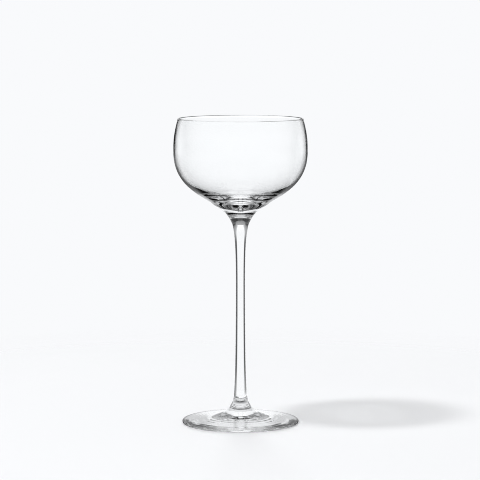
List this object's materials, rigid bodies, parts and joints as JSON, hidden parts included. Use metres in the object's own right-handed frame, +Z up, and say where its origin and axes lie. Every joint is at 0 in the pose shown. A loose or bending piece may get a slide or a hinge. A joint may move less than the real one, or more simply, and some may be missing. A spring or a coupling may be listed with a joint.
{
  "type": "cocktail coupe",
  "caption": "Clear stemmed cocktail coupe: a small rounded bowl with an inward rim and a heavy base, a long slim drawn stem and a thin round foot to stand on.",
  "frame": {"origin": "centre of the foot's resting plane, on the glass's axis", "axes": "+Z up along the stem, from the foot to the bowl's rim; the glass is round about Z, so X and Y are free"},
  "size_m": [0.0788, 0.0788, 0.18],
  "materials": {
    "bowl_glass": "clear, fire polished",
    "stem_glass": "clear, fire polished",
    "foot_glass": "clear, fire polished"
  },
  "bodies": {
    "root": {"bowl": "bowl_glass", "stem": "stem_glass", "foot": "foot_glass"}
  },
  "joints": []
}
